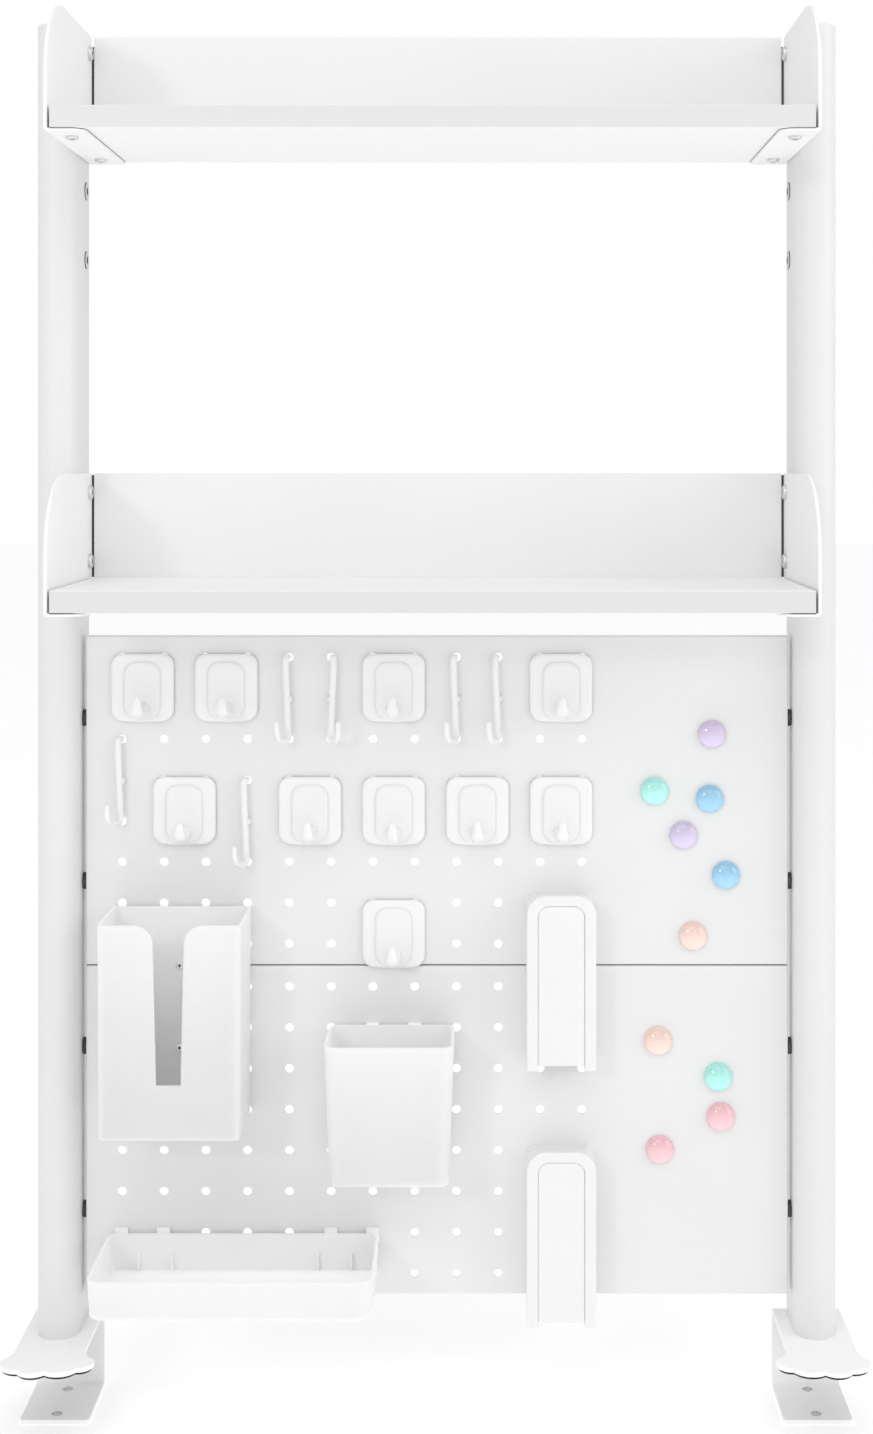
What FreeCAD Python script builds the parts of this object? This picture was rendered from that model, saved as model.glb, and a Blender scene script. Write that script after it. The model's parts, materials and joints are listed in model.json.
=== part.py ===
import FreeCAD, Part
import math
import os

# Desk-clamped pegboard tool wall. Millimetres.
# +X is the user's right, +Y points away from the user and +Z is up. The origin lies on the desk's
# top surface, midway between the posts, on the plane through both posts' centres.

V = FreeCAD.Vector
TINY = 1e-6
NEAR = 0.01
OVERCUT = 1.0  # cutting tools run past the faces they open by this much

# Fits
GAP = 0.3  # between pieces that move apart
FIT = 0.05  # radial, around screws, pins and inserts
SLIP = 0.1  # around a plug or cap inside a tube

# Posts: flat-oval tube standing on the clamp brackets
POST_X = 270.0
POST_WIDTH = 30.0
POST_DEPTH = 60.0
POST_WALL = 1.5
POST_BASE_Z = 5.0
POST_TOP_Z = 935.0
CAP_THICKNESS = 3.0
CAP_SKIRT = 6.0
CAP_EDGE = 1.2
PLUG_HEIGHT = 25.0
FLANK_X = POST_X - POST_WIDTH / 2  # inner flank of each post

# Clamp brackets: bent steel strip with a scalloped front on the top leg
CLAMP_STEEL = 3.0
CLAMP_WIDTH = 49.0
CLAMP_BACK_Y = 24.0  # front face of the back wall, against the desk's rear edge
CLAMP_THROAT = 50.0
CLAMP_JAW_FRONT_Y = -33.0
CLAMP_BEND = 5.0
CLAMP_JAW_CORNER = 3.0
CLAMP_HOLE_R = 4.0
CLAMP_HOLE_Y = (-23.5, 14.0)
PAD_THICKNESS = POST_BASE_Z - CLAMP_STEEL
PAD_INSET = 1.6
PAD_BACK_Y = 20.0
FLARE_START_Y = -47.0
# Tips between the scallops, from the inner end to the outer end: distance from the post's axis
# towards the middle of the unit, and Y. The last number is how far each scallop bulges.
SCALLOP_TIPS = ((33.5, -60.0), (23.7, -73.6), (2.6, -77.9), (-16.5, -76.2), (-31.0, -61.0))
SCALLOP_BULGE = (4.6, 4.8, 4.8, 5.0)
FLARE_SAG = 1.6
FOOT_SCREW_Y = (-14.0, 10.0)

# Screws and threaded inserts
M6_R = 3.0
M6_HEAD_R = 5.25
M6_HEAD_H = 2.7
INSERT_R = 4.5
INSERT_LENGTH = 10.0
WOOD_SCREW_R = 2.0
WOOD_SCREW_LENGTH = 12.0
WOOD_HEAD_R = 4.4
WOOD_HEAD_H = 2.2
CSK_HEAD_R = 6.0
FOOT_SCREW_LENGTH = 22.0
HEAD_ROUND = 0.6  # of the head's height, as the radius of its crown
SOCKET_SIZE = 0.4  # of the head's radius
SOCKET_DEPTH = 0.6  # of the head's height

# Shelves
BOARD_HALF = 251.5
BOARD_FRONT_Y = -135.0
BOARD_BACK_Y = 15.0
BOARD_THICKNESS = 15.0
BOARD_EDGE = 0.8
SHELF_TOP_Z = {"upper": 861.0, "middle": 542.5}
SIDE_RISE = 76.0  # end plates and back stops above the board
BRACKET_STEEL = 2.0
BRACKET_FLANGE = 25.0
BRACKET_BEND = 2.6
BRACKET_CORNER = 55.0
FLANGE_CORNER = 9.0
SIDE_SCREW_Y = 6.0
SIDE_SCREW_RISE = (12.3, 62.3)
FLANGE_SCREW_X = 241.0
FLANGE_SCREW_Y = (-112.0, -11.0)
FREE_HOLE_DROP = (50.0, 100.0)  # spare inserts below the upper bracket's lower screw
STOP_HALF = 251.0
STOP_STEEL = 1.5
STOP_HEM = 12.0
STOP_BEND = 0.75
STOP_SCREW_X = (-190.0, 0.0, 190.0)

# Pegboard panels
PANEL_HALF = 252.0
PANEL_FRONT_Y = -10.0
PANEL_STEEL = 1.2
PANEL_RETURN = 12.0
PANEL_HEIGHT = 235.5
PANEL_BASE_Z = {"lower": 29.5, "upper": 266.0}
PANEL_EDGE = 1.0
PEG_HOLE_R = 3.2
PEG_FIRST_X = -226.0
PEG_PITCH_X = 30.0
PEG_COLUMNS = 12
PEG_PITCH_Z = 29.4
PEG_ROWS = 8
PEG_FIRST_RISE = 14.85  # lowest row above the panel's lower edge
PANEL_SCREW_Y = -3.3
PANEL_SCREW_OFFSET = 58.8
SPACER_R = 6.0

# Square plug-in hooks: column left of the centre, and row of the pegs, for each one
HOOK_WIDTH = 45.0
HOOK_HEIGHT = 49.5
HOOK_CORNER = 7.0
HOOK_BASE = 4.5
HOOK_EDGE = 1.2
HOOK_PEG_DROP = 7.3  # pegs below the hook's centre
HOOK_PEG_R = 2.9
HOOK_PEG_REACH = 4.0
HOOK_BOW = 1.5  # the lower edge bows down by this much, along a wide arc
HOOK_BOW_R = 150.0
TONGUE_WIDTH = 25.0
TONGUE_CORNER = 8.0
TONGUE_TOP_DROP = 6.0
TONGUE_RISE = 2.0
TIP_DROP = 18.0  # underside of the tip below the hook's centre
TIP_REACH = 24.0
TIP_RISE = 13.0
TIP_THICKNESS = 4.6
TIP_BEND = 5.0
TIP_EDGE = 1.4
TIP_FOOT_WIDTH = 8.4
TIP_HEAD_WIDTH = 3.6
HOOKS = (
    ("upper", 0, 6),
    ("upper", 2, 6),
    ("upper", 6, 6),
    ("upper", 10, 6),
    ("upper", 1, 3),
    ("upper", 4, 3),
    ("upper", 6, 3),
    ("upper", 8, 3),
    ("upper", 10, 3),
    ("upper", 6, 0),
)

# J-shaped wire pegs: column, row of the top elbow, and the side that the tip points to
PEG_WIRE_R = 2.3
PEG_STAND = 5.4  # wire axis in front of the panel
PEG_LEAN = 2.2
PEG_ROOT_LEAN = -0.3
PEG_ELBOW = 3.2
PEG_TURN = (6.3, -16.6, 3.0)  # where the wire turns up, from its lower end: sideways, out and up
PEG_TIP = (6.8, -17.6, 13.5)
PEG_TIP_BEND = 6.5
PEG_STUD_R = 2.6
PEG_REACH = 4.0
PEGS = ((4, 7, -1), (5, 7, 1), (8, 7, -1), (9, 7, -1), (0, 5, -1), (3, 4, -1))

# Hanging containers
TUB_BACK_Y = -12.4
HANGER_HEIGHT = 6.0
HANGER_OVERHANG = 5.0
HANGER_TAB = (4.6, 4.0)  # half width, and rise above the hole's centre, of the tab at each prong
PRONG_R = 1.5
PRONG_REACH = 4.2
LIP_THICKNESS = 2.7
LIP_DROP = 2.3
WALL = 2.0

BOX_X = (-232.2, -133.0)
BOX_FRONT_Y = -74.0
BOX_Z = (160.0, 308.6)
BOX_TAPER = 0.8
BOX_CORNER = 4.0
BOX_FOOT_EDGE = 3.0
BOX_SLOT_X = -183.0
BOX_SLOT_TOP = 22.0
BOX_SLOT_BOTTOM = 17.0
BOX_SLOT_DEPTH = 110.0
BOX_SLOT_CORNER = 1.0
BOX_SHOULDER = 13.0
BOX_HOLE_R = 2.25
BOX_HOLE_X = -184.0
BOX_HOLE_Z = (266.5, 207.7)
BOX_FOOT_RISE = (8.0, 14.0)  # ledge behind the box that keeps it upright

CUP_X = (-77.0, 12.9)
CUP_FRONT_Y = -70.0
CUP_Z = (125.8, 223.5)
CUP_TAPER = 3.6
CUP_CORNER = 8.0
CUP_FOOT_EDGE = 2.5

TRAY_X = (-235.2, -41.3)
TRAY_FRONT_Y = -98.5
TRAY_Z = (47.0, 74.1)
TRAY_TAPER = 1.2
TRAY_CORNER = 9.0
TRAY_FOOT_EDGE = 3.0
TRAY_RIB_X = (-213.0, -189.0, -85.0, -61.0)
TRAY_RIB = (1.4, 4.0, 12.0)  # width, depth and height

# Fold-down rests
REST_X = 88.3
REST_WIDTH = 49.0
REST_Z = {"upper": (197.5, 321.1), "lower": (16.9, 140.5)}
REST_PEG_ROWS = {"upper": (("upper", 1), ("lower", 7)), "lower": (("lower", 3), ("lower", 1))}
REST_PEG_COLUMNS = (10, 11)
REST_BACK = 4.0
REST_BACK_CORNER = 6.0
REST_FRONT_Y = -38.0
REST_TOP_FALL = 4.0  # the top falls by this much from the front to the back plate
REST_ARCH = 14.0
REST_WINDOW = 33.0
REST_WINDOW_TOP = 7.4
REST_WINDOW_ARCH = 8.0
REST_OPEN_FOOT = 14.0
REST_EDGE = 1.2
FLAP_GAP = 0.35
FLAP_THICKNESS = 3.6
FLAP_FOOT_RISE = 3.6
FLAP_BARREL_R = 3.4
FLAP_PIN_RISE = 8.0
FLAP_PIN_Y = REST_FRONT_Y + 6.0
FLAP_PIN_R = 1.5
FLAP_RECESS = 0.4

# Dome magnets: X and Z of each one
MAGNET_R = 10.0
MAGNET_HEIGHT = 6.6
MAGNET_RIM = 1.4
MAGNET_FOOT = 0.5
MAGNETS = (
    (197.4, 431.5),
    (156.2, 390.8),
    (195.8, 385.2),
    (176.9, 359.2),
    (207.4, 330.4),
    (183.8, 286.7),
    (158.7, 211.4),
    (201.8, 185.6),
    (203.7, 157.0),
    (159.9, 133.5),
)

nodes = {}


# Shapes that repeat


def block(x, y, z):
    """Box between the low and high value on each axis."""
    return Part.makeBox(x[1] - x[0], y[1] - y[0], z[1] - z[0], V(x[0], y[0], z[0]))


def cylinder(start, direction, radius, length):
    return Part.makeCylinder(radius, length, start, direction)


def fuse(shapes):
    return shapes[0].multiFuse(shapes[1:]).removeSplitter()


def corner_arc(before, point, after, radius):
    """Start, middle and end of the tangent arc that rounds one corner."""
    a = (before - point).normalize()
    b = (after - point).normalize()
    half = a.getAngle(b) / 2
    trim = radius / math.tan(half)
    bisector = (a + b).normalize()
    middle = point + bisector * (radius / math.sin(half) - radius)
    return point + a * trim, middle, point + b * trim


def rounded_wire(path, closed=True):
    """Straight runs through (point, radius) pairs, with an arc at each corner that has a radius."""
    count = len(path)
    corners = []
    for i, (point, radius) in enumerate(path):
        if radius:
            corners.append(corner_arc(path[i - 1][0], point, path[(i + 1) % count][0], radius))
        else:
            corners.append((point, None, point))
    edges = []
    for i, (start, middle, end) in enumerate(corners):
        if middle is not None:
            edges.append(Part.Arc(start, middle, end).toShape())
        following = corners[(i + 1) % count][0]
        if (closed or i < count - 1) and (following - end).Length > TINY:
            edges.append(Part.LineSegment(end, following).toShape())
    return Part.Wire(edges)


def prism(outline, plane, low, high):
    """Solid with an outline of (u, v, radius) corners in a plane, from low to high on the other axis."""
    place = {
        "xy": lambda u, v: V(u, v, low),
        "xz": lambda u, v: V(u, low, v),
        "yz": lambda u, v: V(low, u, v),
    }[plane]
    push = {"xy": V(0, 0, 1), "xz": V(0, 1, 0), "yz": V(1, 0, 0)}[plane] * (high - low)
    path = [(place(u, v), radius) for u, v, radius in outline]
    return Part.Face(rounded_wire(path)).extrude(push)


def rectangle(u, v, radius=0.0):
    return [(u[0], v[0], radius), (u[1], v[0], radius), (u[1], v[1], radius), (u[0], v[1], radius)]


def edges_on(shape, axis, value):
    """Edges that lie wholly in the plane where the axis has that value."""
    found = []
    for edge in shape.Edges:
        low = getattr(edge.BoundBox, axis + "Min")
        high = getattr(edge.BoundBox, axis + "Max")
        if abs(low - value) < NEAR and abs(high - value) < NEAR:
            found.append(edge)
    return found


def soften(shape, axis, value, radius):
    """Round every edge that lies in one plane."""
    return shape.makeFillet(radius, edges_on(shape, axis, value))


def oval(width, depth, low, high):
    """Flat-oval prism around the post's axis, with its long side along Y."""
    side = width / 2
    flat = (depth - width) / 2
    rounds = []
    for sign in (-1, 1):
        centre = V(POST_X, sign * flat, low)
        start = centre - V(sign * side, 0, 0)
        middle = centre + V(0, sign * side, 0)
        end = centre + V(sign * side, 0, 0)
        rounds.append((start, middle, end))
    edges = []
    for i, (start, middle, end) in enumerate(rounds):
        edges.append(Part.Arc(start, middle, end).toShape())
        edges.append(Part.LineSegment(end, rounds[1 - i][0]).toShape())
    return Part.Face(Part.Wire(edges)).extrude(V(0, 0, high - low))


def rod(path, radius):
    """Round bar along (point, bend radius) pairs, with a rounded far end."""
    wire = rounded_wire(path, closed=False)
    start = path[0][0]
    profile = Part.Wire(Part.makeCircle(radius, start, path[1][0] - start))
    bar = wire.makePipeShell([profile], True, False)
    return fuse([bar, Part.makeSphere(radius, path[-1][0])])


def screw(seat, direction, radius, length, head_r, head_h):
    """Button-head screw with a six-sided socket. The seat is the middle of the head's underside."""
    outward = V(direction) * -1
    crown = seat + outward * head_h
    head = cylinder(seat, outward, head_r, head_h)
    top = [edge for edge in head.Edges if (edge.CenterOfMass - crown).Length < TINY]
    head = head.makeFillet(head_h * HEAD_ROUND, top)
    shank = cylinder(seat, direction, radius, length)
    socket = Part.Face(Part.makePolygon(hexagon(crown, direction, head_r * SOCKET_SIZE)))
    return fuse([head, shank]).cut(socket.extrude(V(direction) * (head_h * SOCKET_DEPTH)))


def hexagon(centre, axis, radius):
    """Closed list of the corners of a hexagon across the axis."""
    side = V(0, 0, 1) if abs(axis.z) < 0.5 else V(1, 0, 0)
    other = axis.cross(side)
    corners = []
    for i in range(7):
        angle = math.radians(60 * i)
        corners.append(centre + side * (radius * math.cos(angle)) + other * (radius * math.sin(angle)))
    return corners


def m6_screw(seat, direction, length):
    return screw(seat, direction, M6_R, length, M6_HEAD_R, M6_HEAD_H)


def wood_screw(seat, direction):
    return screw(seat, direction, WOOD_SCREW_R, WOOD_SCREW_LENGTH, WOOD_HEAD_R, WOOD_HEAD_H)


def mirrored(shape):
    return shape.mirror(V(0, 0, 0), V(1, 0, 0))


def add(name, shape):
    nodes[name] = shape


def add_pair(name, shape):
    """Keep a piece of the right-hand side and its mirror image on the left."""
    add(name + "_right", shape)
    add(name + "_left", mirrored(shape))


def add_group(name, solids):
    add(name, Part.makeCompound(solids))


def both_sides(solids):
    return solids + [mirrored(solid) for solid in solids]


def peg_z(panel, row):
    return PANEL_BASE_Z[panel] + PEG_FIRST_RISE + PEG_PITCH_Z * row


def peg_x(column):
    return PEG_FIRST_X + PEG_PITCH_X * column


# Posts


def insert_places():
    """Y and Z of the threaded inserts in a post's inner flank."""
    places = []
    for shelf_z in SHELF_TOP_Z.values():
        for rise in SIDE_SCREW_RISE:
            places.append((SIDE_SCREW_Y, shelf_z + rise))
    for drop in FREE_HOLE_DROP:
        places.append((SIDE_SCREW_Y, SHELF_TOP_Z["upper"] + SIDE_SCREW_RISE[0] - drop))
    return places + panel_screw_places()


def panel_screw_places():
    places = []
    for base in PANEL_BASE_Z.values():
        for sign in (-1, 1):
            places.append((PANEL_SCREW_Y, base + PANEL_HEIGHT / 2 + sign * PANEL_SCREW_OFFSET))
    return places


def post():
    tube = oval(POST_WIDTH, POST_DEPTH, POST_BASE_Z, POST_TOP_Z)
    bore = oval(POST_WIDTH - 2 * POST_WALL, POST_DEPTH - 2 * POST_WALL, POST_BASE_Z, POST_TOP_Z)
    holes = []
    for y, z in insert_places():
        start = V(FLANK_X - OVERCUT, y, z)
        holes.append(cylinder(start, V(1, 0, 0), INSERT_R + FIT, POST_WALL + 2 * OVERCUT))
    return tube.cut(bore).cut(Part.makeCompound(holes))


def post_cap():
    inside = 2 * (POST_WALL + SLIP)
    lid = oval(POST_WIDTH, POST_DEPTH, POST_TOP_Z, POST_TOP_Z + CAP_THICKNESS)
    lid = soften(lid, "Z", POST_TOP_Z + CAP_THICKNESS, CAP_EDGE)
    skirt = oval(POST_WIDTH - inside, POST_DEPTH - inside, POST_TOP_Z - CAP_SKIRT, POST_TOP_Z)
    hollow = inside + 2 * WALL
    core = oval(POST_WIDTH - hollow, POST_DEPTH - hollow, POST_TOP_Z - CAP_SKIRT, POST_TOP_Z)
    return fuse([lid, skirt.cut(core)])


def foot_plug():
    inside = 2 * (POST_WALL + SLIP)
    plug = oval(POST_WIDTH - inside, POST_DEPTH - inside, POST_BASE_Z, POST_BASE_Z + PLUG_HEIGHT)
    for y in FOOT_SCREW_Y:
        plug = plug.cut(cylinder(V(POST_X, y, POST_BASE_Z), V(0, 0, 1), M6_R + FIT, PLUG_HEIGHT))
    return plug


def post_inserts():
    solids = []
    for y, z in insert_places():
        start = V(FLANK_X, y, z)
        sleeve = cylinder(start, V(1, 0, 0), INSERT_R, INSERT_LENGTH)
        solids.append(sleeve.cut(cylinder(start, V(1, 0, 0), M6_R + FIT, INSERT_LENGTH)))
    return both_sides(solids)


# Clamp brackets


def scalloped_leg(thickness, base_z, back_y):
    """Top leg of the right-hand clamp bracket, seen from above, as a prism."""
    half = CLAMP_WIDTH / 2
    edges = []

    def at(inward, y):
        return V(POST_X - inward, y, base_z)

    def arc(start, end, bulge):
        along = (end - start).normalize()
        middle = (start + end) * 0.5 - along.cross(V(0, 0, 1)) * bulge
        edges.append(Part.Arc(start, middle, end).toShape())

    tips = [at(inward, y) for inward, y in SCALLOP_TIPS]
    inner = at(half, FLARE_START_Y)
    outer = at(-half, FLARE_START_Y)
    arc(inner, tips[0], FLARE_SAG)
    for start, end, bulge in zip(tips, tips[1:], SCALLOP_BULGE):
        arc(start, end, -bulge)
    arc(tips[-1], outer, FLARE_SAG)
    edges.append(Part.LineSegment(outer, at(-half, back_y)).toShape())
    edges.append(Part.LineSegment(at(-half, back_y), at(half, back_y)).toShape())
    edges.append(Part.LineSegment(at(half, back_y), inner).toShape())
    return Part.Face(Part.Wire(edges)).extrude(V(0, 0, thickness))


def clamp_bracket():
    inner_bend = CLAMP_BEND - CLAMP_STEEL
    back = CLAMP_BACK_Y + CLAMP_STEEL
    profile = [
        (CLAMP_JAW_FRONT_Y, -CLAMP_THROAT - CLAMP_STEEL, 0),
        (back, -CLAMP_THROAT - CLAMP_STEEL, CLAMP_BEND),
        (back, POST_BASE_Z, CLAMP_BEND),
        (0, POST_BASE_Z, 0),
        (0, PAD_THICKNESS, 0),
        (CLAMP_BACK_Y, PAD_THICKNESS, inner_bend),
        (CLAMP_BACK_Y, -CLAMP_THROAT, inner_bend),
        (CLAMP_JAW_FRONT_Y, -CLAMP_THROAT, 0),
    ]
    half = CLAMP_WIDTH / 2
    strip = prism(profile, "yz", POST_X - half, POST_X + half)
    front = [edge for edge in strip.Edges if is_jaw_corner(edge)]
    strip = strip.makeFillet(CLAMP_JAW_CORNER, front)
    bracket = fuse([strip, scalloped_leg(CLAMP_STEEL, PAD_THICKNESS, 0)])
    for y in CLAMP_HOLE_Y:
        start = V(POST_X, y, -CLAMP_THROAT - CLAMP_STEEL)
        bracket = bracket.cut(cylinder(start, V(0, 0, 1), CLAMP_HOLE_R, CLAMP_STEEL))
    for y in FOOT_SCREW_Y:
        seat = V(POST_X, y, PAD_THICKNESS)
        bracket = bracket.cut(
            Part.makeCone(CSK_HEAD_R + FIT, M6_R + FIT, CLAMP_STEEL, seat, V(0, 0, 1))
        )
    return bracket


def is_jaw_corner(edge):
    """True for the two short upright edges at the front of the lower jaw."""
    box = edge.BoundBox
    upright = box.XLength < NEAR and box.YLength < NEAR
    return upright and abs(box.YMin - CLAMP_JAW_FRONT_Y) < NEAR


def clamp_pad():
    leg = scalloped_leg(PAD_THICKNESS, 0, PAD_BACK_Y)
    lowest = min(leg.Faces, key=lambda face: face.BoundBox.ZMax)
    inset = Part.Face(lowest.OuterWire).makeOffset2D(-PAD_INSET)
    return inset.extrude(V(0, 0, PAD_THICKNESS))


def foot_screws():
    solids = []
    for y in FOOT_SCREW_Y:
        seat = V(POST_X, y, PAD_THICKNESS)
        head = Part.makeCone(CSK_HEAD_R, M6_R, CLAMP_STEEL, seat, V(0, 0, 1))
        shank = cylinder(V(POST_X, y, POST_BASE_Z), V(0, 0, 1), M6_R, FOOT_SCREW_LENGTH)
        solids.append(fuse([head, shank]))
    return both_sides(solids)


# Shelves


def shelf_board(top):
    base = top - BOARD_THICKNESS
    board = block((-BOARD_HALF, BOARD_HALF), (BOARD_FRONT_Y, BOARD_BACK_Y), (base, top))
    board = board.makeFillet(BOARD_EDGE, board.Edges)
    holes = []
    for sign in (-1, 1):
        for y in FLANGE_SCREW_Y:
            start = V(sign * FLANGE_SCREW_X, y, base)
            holes.append(cylinder(start, V(0, 0, 1), WOOD_SCREW_R + FIT, WOOD_SCREW_LENGTH))
    for x in STOP_SCREW_X:
        start = V(x, BOARD_BACK_Y, base + BOARD_THICKNESS / 2)
        holes.append(cylinder(start, V(0, -1, 0), WOOD_SCREW_R + FIT, WOOD_SCREW_LENGTH))
    return board.cut(Part.makeCompound(holes))


def shelf_bracket(top):
    """Right-hand end bracket: side plate against the post and flange under the board."""
    base = top - BOARD_THICKNESS - BRACKET_STEEL
    inner = FLANK_X - BRACKET_STEEL
    flange = inner - BRACKET_FLANGE
    section = [
        (FLANK_X, base, BRACKET_BEND),
        (FLANK_X, top + SIDE_RISE, 0),
        (inner, top + SIDE_RISE, 0),
        (inner, base + BRACKET_STEEL, BRACKET_BEND - BRACKET_STEEL),
        (flange, base + BRACKET_STEEL, 0),
        (flange, base, 0),
    ]
    bent = prism(section, "xz", BOARD_FRONT_Y, BOARD_BACK_Y)
    side_view = [
        (BOARD_FRONT_Y, base, 0),
        (BOARD_BACK_Y, base, 0),
        (BOARD_BACK_Y, top + SIDE_RISE, 0),
        (BOARD_FRONT_Y, top + SIDE_RISE, BRACKET_CORNER),
    ]
    top_view = [
        (FLANK_X, BOARD_FRONT_Y, 0),
        (FLANK_X, BOARD_BACK_Y, 0),
        (flange, BOARD_BACK_Y, 0),
        (flange, BOARD_FRONT_Y, FLANGE_CORNER),
    ]
    bracket = bent.common(prism(side_view, "yz", flange, FLANK_X))
    bracket = bracket.common(prism(top_view, "xy", base, top + SIDE_RISE))
    holes = []
    for rise in SIDE_SCREW_RISE:
        start = V(inner, SIDE_SCREW_Y, top + rise)
        holes.append(cylinder(start, V(1, 0, 0), M6_R + FIT, BRACKET_STEEL))
    for y in FLANGE_SCREW_Y:
        start = V(FLANGE_SCREW_X, y, base)
        holes.append(cylinder(start, V(0, 0, 1), WOOD_SCREW_R + FIT, BRACKET_STEEL))
    return bracket.cut(Part.makeCompound(holes))


def back_stop(top):
    """Upright sheet screwed to the board's rear edge, with a hem folded back along its top."""
    high = top + SIDE_RISE
    profile = [
        (BOARD_BACK_Y, top - BOARD_THICKNESS, 0),
        (BOARD_BACK_Y + STOP_STEEL, top - BOARD_THICKNESS, 0),
        (BOARD_BACK_Y + STOP_STEEL, high - STOP_HEM, 0),
        (BOARD_BACK_Y + 2 * STOP_STEEL, high - STOP_HEM, 0),
        (BOARD_BACK_Y + 2 * STOP_STEEL, high, STOP_BEND),
        (BOARD_BACK_Y, high, STOP_BEND),
    ]
    sheet = prism(profile, "yz", -STOP_HALF, STOP_HALF)
    for x in STOP_SCREW_X:
        start = V(x, BOARD_BACK_Y, top - BOARD_THICKNESS / 2)
        sheet = sheet.cut(cylinder(start, V(0, 1, 0), WOOD_SCREW_R + FIT, STOP_STEEL))
    return sheet


def bracket_post_screws():
    solids = []
    for top in SHELF_TOP_Z.values():
        for rise in SIDE_SCREW_RISE:
            seat = V(FLANK_X - BRACKET_STEEL, SIDE_SCREW_Y, top + rise)
            solids.append(m6_screw(seat, V(1, 0, 0), INSERT_LENGTH))
    return both_sides(solids)


def board_screws():
    """Screws through the bracket flanges and through the back stops into the boards."""
    solids = []
    for top in SHELF_TOP_Z.values():
        base = top - BOARD_THICKNESS
        for sign in (-1, 1):
            for y in FLANGE_SCREW_Y:
                seat = V(sign * FLANGE_SCREW_X, y, base - BRACKET_STEEL)
                solids.append(wood_screw(seat, V(0, 0, 1)))
        for x in STOP_SCREW_X:
            seat = V(x, BOARD_BACK_Y + STOP_STEEL, base + BOARD_THICKNESS / 2)
            solids.append(wood_screw(seat, V(0, -1, 0)))
    return solids


# Pegboard panels


def pegboard(panel):
    base = PANEL_BASE_Z[panel]
    top = base + PANEL_HEIGHT
    back = PANEL_FRONT_Y + PANEL_RETURN
    half = PANEL_HALF - PANEL_STEEL
    sheet = block((-PANEL_HALF, PANEL_HALF), (PANEL_FRONT_Y, back), (base, top))
    sheet = soften(sheet, "Y", PANEL_FRONT_Y, PANEL_EDGE)
    inside = (base + PANEL_STEEL, top - PANEL_STEEL)
    hollow = block((-half, half), (PANEL_FRONT_Y + PANEL_STEEL, back), inside)
    holes = []
    for column in range(PEG_COLUMNS):
        for row in range(PEG_ROWS):
            start = V(peg_x(column), PANEL_FRONT_Y, peg_z(panel, row))
            holes.append(cylinder(start, V(0, 1, 0), PEG_HOLE_R, PANEL_STEEL))
    for sign in (-1, 1):
        z = base + PANEL_HEIGHT / 2 + sign * PANEL_SCREW_OFFSET
        start = V(-PANEL_HALF, PANEL_SCREW_Y, z)
        holes.append(cylinder(start, V(1, 0, 0), M6_R + FIT, 2 * PANEL_HALF))
    return sheet.cut(hollow).cut(Part.makeCompound(holes))


def panel_spacers():
    solids = []
    for y, z in panel_screw_places():
        start = V(PANEL_HALF, y, z)
        ring = cylinder(start, V(1, 0, 0), SPACER_R, FLANK_X - PANEL_HALF)
        solids.append(ring.cut(cylinder(start, V(1, 0, 0), M6_R + FIT, FLANK_X - PANEL_HALF)))
    return both_sides(solids)


def panel_screws():
    solids = []
    for y, z in panel_screw_places():
        seat = V(PANEL_HALF - PANEL_STEEL, y, z)
        solids.append(m6_screw(seat, V(1, 0, 0), INSERT_LENGTH))
    return both_sides(solids)


# Accessories that stay plugged in


def hook_tip(x, front, foot):
    """Tip that reaches out and turns up, wide at its foot and narrow at its head."""
    head = foot + TIP_RISE
    end = front - TIP_REACH
    side_view = [
        (front, foot, 0),
        (end, foot, TIP_BEND),
        (end, head, TIP_EDGE),
        (end + TIP_THICKNESS, head, TIP_EDGE),
        (end + TIP_THICKNESS, foot + TIP_THICKNESS, TIP_EDGE),
        (front, foot + TIP_THICKNESS, 0),
    ]
    front_view = [
        (x - TIP_FOOT_WIDTH / 2, foot, TIP_EDGE),
        (x + TIP_FOOT_WIDTH / 2, foot, TIP_EDGE),
        (x + TIP_HEAD_WIDTH / 2, head, TIP_EDGE),
        (x - TIP_HEAD_WIDTH / 2, head, TIP_EDGE),
    ]
    side = prism(side_view, "yz", x - TIP_FOOT_WIDTH, x + TIP_FOOT_WIDTH)
    return side.common(prism(front_view, "xz", end, front))


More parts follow.
